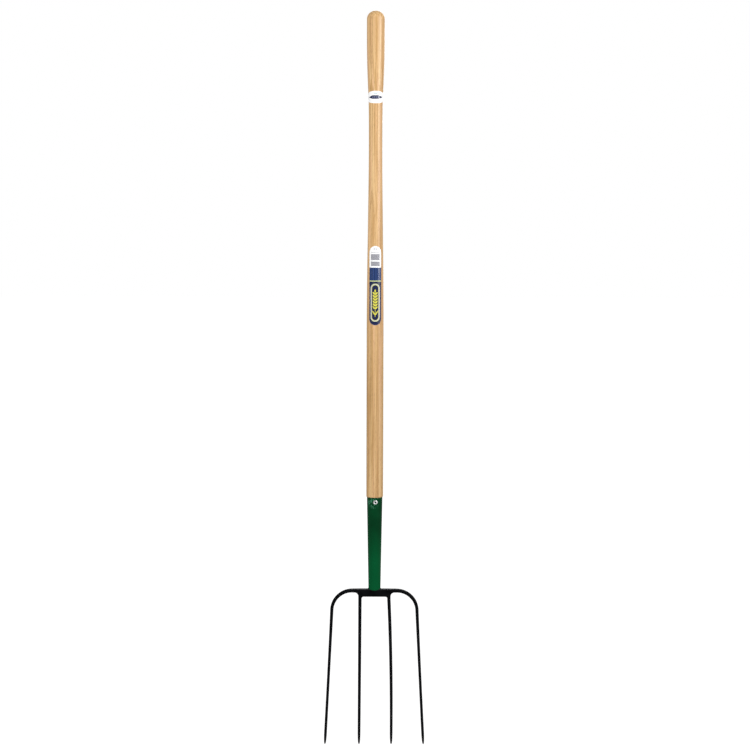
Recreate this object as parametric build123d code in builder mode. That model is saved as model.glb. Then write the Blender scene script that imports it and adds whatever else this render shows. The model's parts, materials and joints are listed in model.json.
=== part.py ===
"""Four-prong hay fork: turned ash shaft, rolled steel socket and forged head.

Millimetres. +Z runs up the shaft to the grip and the prongs point down. The prongs curve forward, and
forward is -Y. The origin is on the shaft's axis, at the middle of its straight round stretch.
"""

import os
from math import cos, pi, radians, sin, sqrt

from build123d import *

# ---------------------------------------------------------------- driving dimensions
SHAFT_LENGTH = 1219.0  # a 48 inch shaft, tenon included
SHAFT_R = 19.0
CLIP_LENGTH = 380.0  # the straight round stretch above the socket
NECK_R = 15.0  # the slimmest place, under the upper hand
NECK_Z = 600.0
GRIP_R = 19.9
GRIP_TOP_Z = 898.0
GRIP_FULL_Z = 850.0  # where the grip is thickest
GRIP_END_ROUND = 18.0
SHOULDER_CHAMFER = 1.6
TENON_CHAMFER = 1.5
SHAFT_TAPER = ((18.3, 303.0), (16.6, 437.0))  # radius and height on the way up to the neck
GRIP_SWELL = ((15.6, 694.0), (17.8, 747.0), (19.35, 794.0))  # and from the neck to the grip

MOUTH_R = 17.65  # socket, outside
FOOT_R = 13.8
SOCKET_WALL = 1.8
MOUTH_GAP = 0.4
FIT_GAP = 0.05
SEAM_WIDTH = 1.2
SEAM_STOP = 20.0  # the seam is welded shut this far above the foot
PINCH_LENGTH = 62.0  # the foot is pressed oval over this length
FOOT_HALF_DEPTH = 9.0
TONGUE = 3.5  # how far the foot laps over the yoke, front and back

RIVET_R = 2.4
RIVET_HEAD_R = 5.0
RIVET_HEAD_H = 1.5
RIVET_HOLLOW_R = 1.7
RIVET_HOLLOW_DEPTH = 7.0
HEAD_BED = 1.5  # how far the heads reach down over the socket's curve
HEAD_GAP = 0.02
RIVET_DROP = 10.2  # below the shoulder
RIVET_X = 1.5

YOKE_TOP_Z = -403.0
YOKE_BLOCK_H = 18.3
YOKE_BLOCK_DEPTH = 14.0
YOKE_EDGE = 2.4
ARM_H = 8.8
ARM_DEPTH = 10.4
ARM_END_X = 50.9
STUB_DROP = 25.0  # from the top of the yoke to where the inner prongs start
CROTCH_R = 4.0
ARMPIT_R = 6.5
YOKE_ROUND = 3.2  # along all edges of the arms and stubs
TANG_LENGTH = 78.0
TANG_SINK = 1.0  # into the block, so that they are one piece
TANG_PARALLEL = 8.0  # full size up to here, where the socket grips it
TANG_MIDDLE = (45.0, 9.5, 6.6)  # height above the yoke, half width, half depth
TANG_END = (7.0, 6.0)

INNER_ROOT_X = 33.2
INNER_ROOT_W = 7.8
INNER_END_W = 5.7
OUTER_END_W = 5.7
PRONG_END_D = 6.2
PRONG_ROUNDING = 0.4  # corner radius of a prong's section, as a share of its smaller side
PRONG_STEPS = 34
POINT_STEPS = (0.35, 0.65, 0.88, 1.0)  # shares of the point's length
INNER_LEAN = {-1: 0.7, 1: 5.0}  # outward set of the left and right inner tips
INNER_BOW = {-1: 0.0, 1: 2.4}  # and of their middles
INNER_TAPER = (0.9, 1.2)  # powers of the width's and the depth's taper
OUTER_TAPER = (3.0, 1.3)
SHOULDER_R = 46.8  # bend of the outer prongs, on their centre line
SHOULDER_TURN = 86.0  # degrees, so that the bend runs out into the prong's splay
OUTER_TIP_X = 110.4
TIP_Z = -735.3
FORWARD_REACH = 96.0  # of the tips, ahead of the shaft's axis
FORWARD_POWER = 1.6  # the curve is tighter near the yoke
POINT_LENGTH = 26.0
POINT_W = 1.8

LABEL_THICKNESS = 0.09
LABEL_GLUE = 0.01  # keeps the labels clear of the wood
LABEL_TOP_Z = 379.0
LABEL_BOTTOM_Z = 202.0
LABEL_ARC_WIDTH = 29.0
OVAL_Z = 708.0
OVAL_HEIGHT = 27.0
OVAL_ARC_WIDTH = 60.0
OVAL_STEPS = 10
LABEL_SHAFT_R = 18.2  # the shaft under each label
OVAL_SHAFT_R = 16.1

WELD_R = 1.5
WELD_SINK = 1.0  # of the bead's centre line, under the foot's surface
WELD_SAG = 0.3
WELD_SPAN = 0.72  # share of the foot's half width that the front and back beads reach
SIDE_WELD = 9.2

# ---------------------------------------------------------------- derived places
SHOULDER_Z = -CLIP_LENGTH / 2
TENON_END_Z = GRIP_TOP_Z - SHAFT_LENGTH
MOUTH_Z = SHOULDER_Z - MOUTH_GAP
SOCKET_LENGTH = MOUTH_Z - YOKE_TOP_Z
PINCH_TOP_Z = YOKE_TOP_Z + PINCH_LENGTH
RIVET_Z = SHOULDER_Z - RIVET_DROP
BLOCK_BOTTOM_Z = YOKE_TOP_Z - YOKE_BLOCK_H
BLOCK_HALF_X = INNER_ROOT_X + INNER_ROOT_W / 2
STUB_Z = YOKE_TOP_Z - STUB_DROP
ARM_Z = YOKE_TOP_Z - ARM_H / 2
SHOULDER_END_Z = ARM_Z - SHOULDER_R
OUTER_ROOT_X = ARM_END_X + SHOULDER_R


def socket_r(z):
    """Outside radius of the socket's cone at height z."""
    return FOOT_R + (MOUTH_R - FOOT_R) * (z - YOKE_TOP_Z) / SOCKET_LENGTH


def socket_half_depth(z):
    """Half of the socket's depth: its radius, then eased down to the pinched foot."""
    if z >= PINCH_TOP_Z:
        return socket_r(z)
    u = min(1.0, (PINCH_TOP_Z - z) / PINCH_LENGTH)
    ease = u * u * (3 - 2 * u)
    return socket_r(z) + (FOOT_HALF_DEPTH - FOOT_R) * ease


def forward(z):
    """Y of the prongs' centre line at height z. They leave the yoke straight down."""
    u = max(0.0, (STUB_Z - z) / (STUB_Z - TIP_Z))
    return -FORWARD_REACH * u**FORWARD_POWER


# ---------------------------------------------------------------- shaft
def shaft_outline(grow=0.0):
    """The shaft's half outline, right of its axis, grown outwards by grow. Bottom to top."""
    tenon_top_r = socket_r(MOUTH_Z) - SOCKET_WALL - FIT_GAP
    tenon_end_r = socket_r(TENON_END_Z) - SOCKET_WALL - FIT_GAP
    cylinder_top = (SHAFT_R + grow, CLIP_LENGTH / 2)
    neck = (NECK_R + grow, NECK_Z)
    grip = (GRIP_R + grow, GRIP_FULL_Z)
    round_start = (GRIP_R + grow, GRIP_TOP_Z - GRIP_END_ROUND)
    with BuildLine() as outline:
        Polyline(
            (0, TENON_END_Z),
            (tenon_end_r - TENON_CHAMFER, TENON_END_Z),
            (tenon_end_r, TENON_END_Z + TENON_CHAMFER),
            (tenon_top_r, SHOULDER_Z),
            (SHAFT_R + grow - SHOULDER_CHAMFER, SHOULDER_Z),
            (SHAFT_R + grow, SHOULDER_Z + SHOULDER_CHAMFER),
            cylinder_top,
        )
        Spline(
            cylinder_top,
            *[(r + grow, z) for r, z in SHAFT_TAPER],
            neck,
            tangents=[(0, 1), (0, 1)],
        )
        Spline(
            neck,
            *[(r + grow, z) for r, z in GRIP_SWELL],
            grip,
            tangents=[(0, 1), (0, 1)],
        )
        Line(grip, round_start)
        flat_r = GRIP_R - GRIP_END_ROUND
        RadiusArc(round_start, (flat_r, GRIP_TOP_Z + grow), -(GRIP_END_ROUND + grow))
        Line((flat_r, GRIP_TOP_Z + grow), (0, GRIP_TOP_Z + grow))
        Line((0, GRIP_TOP_Z + grow), (0, TENON_END_Z))
    return outline.line


with BuildPart() as stick:
    with BuildSketch(Plane.XZ):
        with BuildLine():
            add(shaft_outline())
        make_face()
    revolve(axis=Axis.Z)
    with BuildSketch(Plane.XZ):
        with Locations((RIVET_X, RIVET_Z)):
            Circle(RIVET_R + FIT_GAP)
    extrude(amount=2 * SHAFT_R, both=True, mode=Mode.SUBTRACT)

# One stick, kept as two solids that meet at its slimmest place, so that each is nearly convex.
with BuildPart() as shaft:
    add(stick.part)
    split(bisect_by=Plane.XY.offset(NECK_Z), keep=Keep.BOTTOM)

with BuildPart() as grip:
    add(stick.part)
    split(bisect_by=Plane.XY.offset(NECK_Z), keep=Keep.TOP)


# ---------------------------------------------------------------- forged head
def prong_plane(path, t):
    """Section plane at t along a prong: local X runs through its depth, local Y across its width."""
    tangent = path % t
    back = Vector(0, 1, 0)
    depth = back - tangent * tangent.dot(back)
    return Plane(origin=path @ t, x_dir=depth, z_dir=tangent)


def loft_prong(path, root, end, taper):
    """A prong along its centre line. root and end are (width, depth) at the yoke and at the point's start."""
    point_start = 1 - POINT_LENGTH / path.length
    places = [point_start * step / PRONG_STEPS for step in range(PRONG_STEPS + 1)]
    places += [point_start + (1 - point_start) * share for share in POINT_STEPS]
    with BuildPart() as prong:
        for t in places:
            left = 1 - min(1.0, t / point_start)
            width = end[0] + (root[0] - end[0]) * left ** taper[0]
            depth = end[1] + (root[1] - end[1]) * left ** taper[1]
            if t > point_start:
                share = (t - point_start) / (1 - point_start)
                ease = sqrt(max(0.0, 1 - share**2))
                width = POINT_W + (width - POINT_W) * ease
                depth = POINT_W + (depth - POINT_W) * ease
            with BuildSketch(prong_plane(path, t)):
                RectangleRounded(depth, width, PRONG_ROUNDING * min(width, depth))
        loft(ruled=True)
    return prong


def inner_prong(side):
    """side is -1 for left or 1 for right. The two differ a little in set, as forged prongs do."""
    points = []
    for step in range(9):
        u = step / 8
        z = STUB_Z + (TIP_Z - STUB_Z) * u
        x = INNER_ROOT_X + INNER_LEAN[side] * u + INNER_BOW[side] * 4 * u * (1 - u)
        points.append((side * x, forward(z), z))
    with BuildLine() as route:
        Spline(*points, tangents=[(0, 0, -1), Vector(*points[-1]) - Vector(*points[-2])])
    root = (INNER_ROOT_W, ARM_DEPTH)
    return loft_prong(route.line.edges()[0], root, (INNER_END_W, PRONG_END_D), INNER_TAPER)


def outer_prong(side):
    """The arm's round shoulder, then the prong, as one bar."""
    points = []
    splay = (OUTER_TIP_X - OUTER_ROOT_X) / (SHOULDER_END_Z - TIP_Z)
    for step in range(6):
        turn = radians(SHOULDER_TURN) * step / 5
        x = ARM_END_X + SHOULDER_R * sin(turn)
        z = ARM_Z - SHOULDER_R * (1 - cos(turn))
        points.append((side * x, forward(z), z))
    for step in range(1, 9):
        z = SHOULDER_END_Z + (TIP_Z - SHOULDER_END_Z) * step / 8
        x = OUTER_ROOT_X + splay * (SHOULDER_END_Z - z)
        points.append((side * x, forward(z), z))
    with BuildLine() as route:
        Spline(*points, tangents=[(side, 0, 0), Vector(*points[-1]) - Vector(*points[-2])])
    root = (ARM_H, ARM_DEPTH)
    return loft_prong(route.line.edges()[0], root, (OUTER_END_W, PRONG_END_D), OUTER_TAPER)


# The thick block between the inner prongs.
with BuildPart() as block:
    with Locations((0, 0, (YOKE_TOP_Z + BLOCK_BOTTOM_Z) / 2)):
        Box(2 * BLOCK_HALF_X - 2, YOKE_BLOCK_DEPTH, YOKE_BLOCK_H)
    fillet(block.edges(), YOKE_EDGE)

with BuildPart() as yoke:
    # Arms and the starts of the inner prongs: one bar outline, rounded all along its edges.
    with BuildSketch(Plane.XZ.offset(-ARM_DEPTH / 2)) as outline:
        with Locations((0, ARM_Z)):
            Rectangle(2 * ARM_END_X, ARM_H)
        with Locations((0, (YOKE_TOP_Z + BLOCK_BOTTOM_Z) / 2)):
            Rectangle(2 * BLOCK_HALF_X, YOKE_BLOCK_H)
        for side in (-1, 1):
            with Locations((side * INNER_ROOT_X, (YOKE_TOP_Z + STUB_Z) / 2)):
                Rectangle(INNER_ROOT_W, STUB_DROP)
        crotches = outline.vertices().filter_by(
            lambda v: abs(v.Y - BLOCK_BOTTOM_Z) < 0.01 and abs(v.X) < INNER_ROOT_X
        )
        fillet(crotches, CROTCH_R)
        # Soft armpits where the inner prongs leave the arms, found once the crotches are round.
        armpits = outline.vertices().filter_by(
            lambda v: abs(v.Y - (YOKE_TOP_Z - ARM_H)) < 0.01 and abs(v.X) < ARM_END_X - 1
        )
        fillet(armpits, ARMPIT_R)
    extrude(amount=ARM_DEPTH)
    rims = yoke.edges().filter_by(
        lambda e: abs(abs(e.center().Y) - ARM_DEPTH / 2) < 0.01
        and abs(abs(e.center().X) - ARM_END_X) > 0.1
        and abs(e.center().Z - STUB_Z) > 0.1
    )
    fillet(rims, YOKE_ROUND)
    add(block.part)
    # The tang fills the pinched foot and tapers off inside the socket.
    tang_full = (FOOT_R - SOCKET_WALL - FIT_GAP, FOOT_HALF_DEPTH - SOCKET_WALL - FIT_GAP)
    for height, half_x, half_y in (
        (-TANG_SINK, *tang_full),
        (TANG_PARALLEL, *tang_full),
        TANG_MIDDLE,
        (TANG_LENGTH, *TANG_END),
    ):
        with BuildSketch(Plane.XY.offset(YOKE_TOP_Z + height)):
            Ellipse(half_x, half_y)
    loft()

inner_prong_left = inner_prong(-1)
inner_prong_right = inner_prong(1)
outer_prong_left = outer_prong(-1)
outer_prong_right = outer_prong(1)


# ---------------------------------------------------------------- socket
def socket_body(inset):
    """The socket's solid shape with its surface moved inwards by inset, longer than the socket at the foot."""
    with BuildPart() as body:
        with BuildSketch(Plane.XY.offset(MOUTH_Z)):
            Circle(socket_r(MOUTH_Z) - inset)
        with BuildSketch(Plane.XY.offset(PINCH_TOP_Z)):
            Circle(socket_r(PINCH_TOP_Z) - inset)
        loft()
        for step in range(6):
            z = PINCH_TOP_Z - PINCH_LENGTH * step / 5
            with BuildSketch(Plane.XY.offset(z)):
                Ellipse(socket_r(z) - inset, socket_half_depth(z) - inset)
        loft()
        with BuildSketch(Plane.XY.offset(YOKE_TOP_Z)):
            Ellipse(FOOT_R - inset, FOOT_HALF_DEPTH - inset)
        extrude(amount=-TONGUE)
    return body.part


with BuildPart() as socket:
    add(socket_body(0.0))
    add(socket_body(SOCKET_WALL), mode=Mode.SUBTRACT)
    # The foot's arched edge: full length in the middle, flush with the yoke's top at the sides.
    with BuildSketch(Plane.XZ):
        with BuildLine():
            ThreePointArc((-FOOT_R, YOKE_TOP_Z), (0, YOKE_TOP_Z - TONGUE), (FOOT_R, YOKE_TOP_Z))
            Polyline(
                (FOOT_R, YOKE_TOP_Z),
                (FOOT_R + 2, YOKE_TOP_Z),
                (FOOT_R + 2, YOKE_TOP_Z - 2 * TONGUE),
                (-FOOT_R - 2, YOKE_TOP_Z - 2 * TONGUE),
                (-FOOT_R - 2, YOKE_TOP_Z),
                (-FOOT_R, YOKE_TOP_Z),
            )
        make_face()
    extrude(amount=2 * FOOT_R, both=True, mode=Mode.SUBTRACT)
    # The open seam at the back.
    with Locations((0, MOUTH_R - SOCKET_WALL / 2, (MOUTH_Z + YOKE_TOP_Z + SEAM_STOP) / 2)):
        Box(SEAM_WIDTH, MOUTH_R, MOUTH_Z - YOKE_TOP_Z - SEAM_STOP, mode=Mode.SUBTRACT)
    with BuildSketch(Plane.XZ):
        with Locations((RIVET_X, RIVET_Z)):
            Circle(RIVET_R + FIT_GAP)
    extrude(amount=2 * MOUTH_R, both=True, mode=Mode.SUBTRACT)
    add(yoke.part, mode=Mode.SUBTRACT)

# ---------------------------------------------------------------- rivet
rivet_axis = Plane(origin=(RIVET_X, 0, RIVET_Z), x_dir=(1, 0, 0), z_dir=(0, -1, 0))
rivet_reach = sqrt(socket_r(RIVET_Z) ** 2 - RIVET_X**2)

# What the rivet's heads bed on: the socket's outside, with the shank's way through it.
with BuildPart() as rivet_bed:
    with BuildSketch(Plane.XY.offset(MOUTH_Z)):
        Circle(socket_r(MOUTH_Z) + HEAD_GAP)
    with BuildSketch(Plane.XY.offset(PINCH_TOP_Z)):
        Circle(socket_r(PINCH_TOP_Z) + HEAD_GAP)
    loft()
    with BuildSketch(rivet_axis):
        Circle(RIVET_R)
    extrude(amount=2 * MOUTH_R, both=True, mode=Mode.SUBTRACT)

with BuildPart() as rivet:
    with BuildSketch(rivet_axis):
        Circle(RIVET_R)
    extrude(amount=rivet_reach, both=True)
    # Rolled front end, and a low dome behind.
    with BuildSketch(rivet_axis.offset(rivet_reach - HEAD_BED)):
        Circle(RIVET_HEAD_R)
    extrude(amount=RIVET_HEAD_H + HEAD_BED)
    fillet(rivet.edges().sort_by(Axis.Y)[0], 0.8 * RIVET_HEAD_H)
    with BuildSketch(rivet_axis.offset(-rivet_reach + HEAD_BED)):
        Circle(RIVET_HEAD_R)
    extrude(amount=-RIVET_HEAD_H - HEAD_BED)
    fillet(rivet.edges().sort_by(Axis.Y)[-1], 0.85 * RIVET_HEAD_H)
    # The tube's hollow, open at the front.
    with BuildSketch(rivet_axis.offset(rivet_reach + RIVET_HEAD_H)):
        Circle(RIVET_HOLLOW_R)
    extrude(amount=-RIVET_HOLLOW_DEPTH, mode=Mode.SUBTRACT)
    add(rivet_bed.part, mode=Mode.SUBTRACT)

# ---------------------------------------------------------------- foot welds
with BuildPart() as foot_welds:
    for face in (-1, 1):
        weld_y = face * (FOOT_HALF_DEPTH - WELD_SINK)
        with BuildLine(Plane.XZ.offset(-weld_y)):
            run = ThreePointArc(
                (-WELD_SPAN * FOOT_R, YOKE_TOP_Z - TONGUE / 2),
                (0, YOKE_TOP_Z - TONGUE - WELD_SAG),
                (WELD_SPAN * FOOT_R, YOKE_TOP_Z - TONGUE / 2),
            )
        with BuildSketch(Plane(origin=run @ 0, z_dir=run % 0)):
            Circle(WELD_R)
        sweep(path=run)
    for side in (-1, 1):
        with BuildSketch(Plane(origin=(side * FOOT_R, -SIDE_WELD / 2, YOKE_TOP_Z), z_dir=(0, 1, 0))):
            Circle(WELD_R)
        extrude(amount=SIDE_WELD)
    add(socket.part, mode=Mode.SUBTRACT)
    add(socket_body(SOCKET_WALL / 2), mode=Mode.SUBTRACT)
    add(yoke.part, mode=Mode.SUBTRACT)

# ---------------------------------------------------------------- labels
def grown_stick(grow):
    """The stick's shape, larger all round by grow."""
    with BuildPart() as grown:
        with BuildSketch(Plane.XZ):
            with BuildLine():
                add(shaft_outline(grow))
            make_face()
        revolve(axis=Axis.Z)
    return grown.part


label_inside = grown_stick(LABEL_GLUE)
label_outside = grown_stick(LABEL_GLUE + LABEL_THICKNESS)

# Long label with round ends, on the front.
with BuildPart() as shaft_label:
    chord = 2 * LABEL_SHAFT_R * sin(LABEL_ARC_WIDTH / (2 * LABEL_SHAFT_R))
    with BuildSketch(Plane.XZ):
        with Locations((0, (LABEL_TOP_Z + LABEL_BOTTOM_Z) / 2)):
            SlotOverall(LABEL_TOP_Z - LABEL_BOTTOM_Z, chord, rotation=90)
    extrude(amount=2 * SHAFT_R)
    add(label_outside, mode=Mode.INTERSECT)
    add(label_inside, mode=Mode.SUBTRACT)


def oval_edge(angle):
    """Half height of the oval label at this angle round the shaft from its middle."""
    return OVAL_HEIGHT / 2 * sqrt(max(0.0, 1 - (2 * OVAL_SHAFT_R * angle / OVAL_ARC_WIDTH) ** 2))


def oval_outline(first, last, side):
    """The oval label's outline between two angles, seen square to the shaft, and closed beyond its side."""
    angles = [first + (last - first) * step / OVAL_STEPS for step in range(OVAL_STEPS + 1)]
    upper = [(side * OVAL_SHAFT_R * sin(a), OVAL_Z + oval_edge(a)) for a in angles]
    lower = [(side * OVAL_SHAFT_R * sin(a), OVAL_Z - oval_edge(a)) for a in reversed(angles)]
    past = side * (OVAL_SHAFT_R + SHAFT_R)
    quarter = oval_edge(pi / 2)
    if last < pi / 2 + 0.01:
        return upper + [(past, OVAL_Z + quarter), (past, OVAL_Z - quarter)] + lower
    return [(past, OVAL_Z + quarter)] + upper + lower + [(past, OVAL_Z - quarter)]


# Oval label below the grip. It wraps more than half way round, so it is cut from the front and from behind.
with BuildPart() as grip_label:
    for side in (-1, 1):
        with BuildSketch(Plane.XZ):
            with BuildLine():
                Polyline(*oval_outline(0, pi / 2, side), close=True)
            make_face()
        extrude(amount=2 * SHAFT_R)
        with BuildSketch(Plane.XZ):
            with BuildLine():
                Polyline(*oval_outline(pi / 2, OVAL_ARC_WIDTH / (2 * OVAL_SHAFT_R) - 0.01, side), close=True)
            make_face()
        extrude(amount=-2 * SHAFT_R)
    add(label_outside, mode=Mode.INTERSECT)
    add(label_inside, mode=Mode.SUBTRACT)

# ---------------------------------------------------------------- files
os.makedirs("parts", exist_ok=True)
for name, made in {
    "shaft": shaft,
    "grip": grip,
    "socket": socket,
    "yoke": yoke,
    "inner_prong_left": inner_prong_left,
    "inner_prong_right": inner_prong_right,
    "outer_prong_left": outer_prong_left,
    "outer_prong_right": outer_prong_right,
    "rivet": rivet,
    "foot_welds": foot_welds,
    "shaft_label": shaft_label,
    "grip_label": grip_label,
}.items():
    made.part.label = name
    export_step(made.part, f"parts/{name}.step")
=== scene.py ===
import json
from math import cos, exp, pi, radians, sin, sqrt

import bmesh
import bpy
from mathutils import Euler, Matrix, Vector


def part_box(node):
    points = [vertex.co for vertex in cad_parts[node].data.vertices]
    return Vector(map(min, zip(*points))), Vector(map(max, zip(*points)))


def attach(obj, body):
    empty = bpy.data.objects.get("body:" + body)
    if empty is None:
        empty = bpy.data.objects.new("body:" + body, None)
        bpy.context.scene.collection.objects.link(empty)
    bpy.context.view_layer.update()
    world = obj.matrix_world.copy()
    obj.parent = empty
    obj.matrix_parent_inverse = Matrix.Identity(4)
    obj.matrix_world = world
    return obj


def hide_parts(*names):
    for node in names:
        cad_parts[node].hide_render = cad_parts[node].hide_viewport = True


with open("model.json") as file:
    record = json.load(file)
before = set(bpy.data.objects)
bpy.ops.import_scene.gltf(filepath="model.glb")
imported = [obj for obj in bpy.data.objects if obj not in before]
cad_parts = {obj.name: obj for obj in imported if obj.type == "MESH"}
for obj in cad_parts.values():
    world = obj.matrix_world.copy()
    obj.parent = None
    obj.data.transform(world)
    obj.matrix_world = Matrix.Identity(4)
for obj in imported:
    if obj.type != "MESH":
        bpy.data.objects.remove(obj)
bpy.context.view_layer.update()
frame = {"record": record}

# Hay fork with a turned ash shaft, a green enamelled socket and a black forged head. Metres.
# +Z runs up the shaft, the prongs curve forward to -Y, and the origin is on the shaft's axis.

MM = 0.001

# ---- places read from the frame
MOUTH_GAP = 0.4 * MM  # between the socket's mouth and the shaft's shoulder

SHAFT_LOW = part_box("shaft")[0]
GRIP_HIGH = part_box("grip")[1]
SOCKET_LOW, SOCKET_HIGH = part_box("socket")
YOKE_LOW, YOKE_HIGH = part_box("yoke")
RIVET_LOW, RIVET_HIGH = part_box("rivet")
LABEL_LOW, LABEL_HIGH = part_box("shaft_label")
OVAL_LOW, OVAL_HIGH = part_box("grip_label")
CLIP = next(m for m in frame["record"]["mounts"] if m["name"] == "shaft_clip")

SHAFT_R = CLIP["dims"]["r_mm"] * MM
CYLINDER_TOP = CLIP["dims"]["length_mm"] * MM / 2
SHOULDER_Z = SOCKET_HIGH[2] + MOUTH_GAP
MOUTH_R = SOCKET_HIGH[0]
RIVET_X = (RIVET_LOW[0] + RIVET_HIGH[0]) / 2
RIVET_Z = (RIVET_LOW[2] + RIVET_HIGH[2]) / 2
ARM_END_X = YOKE_HIGH[0]
STUB_Z = YOKE_LOW[2]
TIP_Z = min(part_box(n)[0][2] for n in ("outer_prong_left", "inner_prong_left"))

# ---- sizes of the pieces
NECK_R, NECK_Z = 15.0 * MM, 0.600
GRIP_R, GRIP_FULL_Z = 19.9 * MM, 0.850
GRIP_ROUND = 18.0 * MM
SHAFT_TAPER = ((0.303, 18.3 * MM), (0.437, 16.6 * MM))
GRIP_SWELL = ((0.694, 15.6 * MM), (0.747, 17.8 * MM), (0.794, 19.35 * MM))
SHOULDER_ROUND = 1.6 * MM

FOOT_R = 13.8 * MM
FOOT_HALF_DEPTH = 9.0 * MM
SOCKET_WALL = 1.8 * MM
PINCH_LENGTH = 62.0 * MM
TONGUE = 3.5 * MM
SEAM_WIDTH = 1.2 * MM
SEAM_STOP = 20.0 * MM
FIT_GAP = 0.05 * MM  # between the socket's wall and what is driven into it

YOKE_TOP_Z = SOCKET_LOW[2] + TONGUE
BLOCK_H = 18.3 * MM
ARM_H = 8.8 * MM
ARM_DEPTH = 10.4 * MM
BLOCK_DEPTH = 14.0 * MM
INNER_ROOT_X = 33.2 * MM
INNER_ROOT_W = 7.8 * MM
PRONG_END_W = 6.3 * MM
PRONG_END_D = 6.2 * MM
SHOULDER_BEND_R = 46.8 * MM
OUTER_TIP_X = 110.4 * MM
FORWARD_REACH = 96.0 * MM
FORWARD_POWER = 1.6
POINT_LENGTH = 26.0 * MM
POINT_W = 1.8 * MM

LABEL_ARC_WIDTH = 29.0 * MM
OVAL_ARC_WIDTH = 60.0 * MM
LABEL_FILM = 0.2 * MM


# ---- shapes shared by several pieces
def smooth_step(low, high, x):
    """0 below low, 1 above high and an eased ramp between."""
    t = min(1.0, max(0.0, (x - low) / (high - low)))
    return t * t * (3 - 2 * t)


def arc(centre, radius, start, stop, steps):
    """Points on an arc, with angles in degrees from the first axis towards the second."""
    turns = [radians(start + (stop - start) * s / steps) for s in range(steps + 1)]
    return [(centre[0] + radius * cos(t), centre[1] + radius * sin(t)) for t in turns]


def eased_through(points, x):
    """A smooth curve through (x, y) points, level at both ends."""
    slopes = [0.0]
    for before, after in zip(points, points[2:]):
        slopes.append((after[1] - before[1]) / (after[0] - before[0]))
    slopes.append(0.0)
    for (x0, y0), (x1, y1), s0, s1 in zip(points, points[1:], slopes, slopes[1:]):
        if x <= x1:
            h = x1 - x0
            t = (x - x0) / h
            a = (1 + 2 * t) * (1 - t) ** 2 * y0 + t * (1 - t) ** 2 * h * s0
            return a + t * t * (3 - 2 * t) * y1 + t * t * (t - 1) * h * s1
    return points[-1][1]


def shaft_radius(z):
    """Radius of the shaft above its shoulder and below the rounding of its end."""
    if z <= CYLINDER_TOP:
        return SHAFT_R
    if z <= NECK_Z:
        return eased_through([(CYLINDER_TOP, SHAFT_R), *SHAFT_TAPER, (NECK_Z, NECK_R)], z)
    if z <= GRIP_FULL_Z:
        return eased_through([(NECK_Z, NECK_R), *GRIP_SWELL, (GRIP_FULL_Z, GRIP_R)], z)
    return GRIP_R


def socket_radius(z):
    """Outside radius of the socket's cone."""
    return FOOT_R + (MOUTH_R - FOOT_R) * (z - YOKE_TOP_Z) / (SOCKET_HIGH[2] - YOKE_TOP_Z)


def socket_half_depth(z):
    """Half depth of the socket, which is pinched flatter towards its foot."""
    ease = 1 - smooth_step(YOKE_TOP_Z, YOKE_TOP_Z + PINCH_LENGTH, z)
    return socket_radius(z) + (FOOT_HALF_DEPTH - FOOT_R) * ease


def forward(z):
    """Y of the prongs' centre lines at height z."""
    u = max(0.0, (STUB_Z - z) / (STUB_Z - TIP_Z))
    return -FORWARD_REACH * u**FORWARD_POWER


# ---- mesh helpers
def add_object(name, data):
    """A new object in the scene that shows data: a mesh, a light or a camera."""
    piece = bpy.data.objects.new(name, data)
    bpy.context.scene.collection.objects.link(piece)
    return piece


def mesh_object(name, work):
    """A new object from a bmesh, which is used up."""
    mesh = bpy.data.meshes.new(name)
    work.to_mesh(mesh)
    work.free()
    return add_object(name, mesh)


def flat_copy(piece):
    """The piece with its modifiers worked into a plain mesh."""
    graph = bpy.context.evaluated_depsgraph_get()
    mesh = bpy.data.meshes.new_from_object(piece.evaluated_get(graph))
    name = piece.name
    bpy.data.objects.remove(piece)
    mesh.name = name
    return add_object(name, mesh)


def outward(piece):
    """Turns all faces of a closed mesh outwards."""
    work = bmesh.new()
    work.from_mesh(piece.data)
    bmesh.ops.recalc_face_normals(work, faces=work.faces)
    if work.calc_volume(signed=True) < 0:
        bmesh.ops.reverse_faces(work, faces=work.faces)
    work.to_mesh(piece.data)
    work.free()


def finish_piece(piece, material, slot, *nodes):
    """Gives a piece its material and hides the CAD nodes that it stands for. The slot is not used."""
    piece.data.materials.clear()
    piece.data.materials.append(material)
    for face in piece.data.polygons:
        face.use_smooth = True
    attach(piece, "root")
    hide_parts(*nodes)
    return piece


# ---- Geometry Nodes: a tapered bar along a path
def put(tree, socket, value):
    """Links a value to an input if it is a socket, or sets it."""
    if isinstance(value, bpy.types.NodeSocket):
        tree.links.new(value, socket)
    else:
        socket.default_value = value


def new_node(tree, kind, **inputs):
    """A new node with its inputs linked or set. Underscores stand for spaces in their names."""
    node = tree.nodes.new(kind)
    for name, value in inputs.items():
        put(tree, node.inputs[name.replace("_", " ")], value)
    return node


def math_node(tree, operation, *values, kind="ShaderNodeMath"):
    """A number, or with the other kind a vector, worked out from sockets and fixed values."""
    node = tree.nodes.new(kind)
    node.operation = operation
    for socket, value in zip([s for s in node.inputs if s.enabled], values):
        put(tree, socket, value)
    return next(s for s in node.outputs if s.enabled)


def vector_math(tree, operation, *values):
    return math_node(tree, operation, *values, kind="ShaderNodeVectorMath")


def named(tree, name, kind):
    """A named attribute, read back."""
    node = new_node(tree, "GeometryNodeInputNamedAttribute", Name=name)
    node.data_type = kind
    return node.outputs["Attribute"]


def stored(tree, geometry, name, value):
    """The geometry with a vector stored on its points."""
    node = new_node(tree, "GeometryNodeStoreNamedAttribute", Geometry=geometry, Name=name)
    node.data_type = "FLOAT_VECTOR"
    node.domain = "POINT"
    put(tree, node.inputs["Value"], value)
    return node.outputs["Geometry"]


def power_of(tree, value, exponent):
    """sign(value) times |value| to the exponent."""
    raised = math_node(tree, "POWER", math_node(tree, "ABSOLUTE", value), exponent)
    return math_node(tree, "MULTIPLY", raised, math_node(tree, "SIGN", value))


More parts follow.
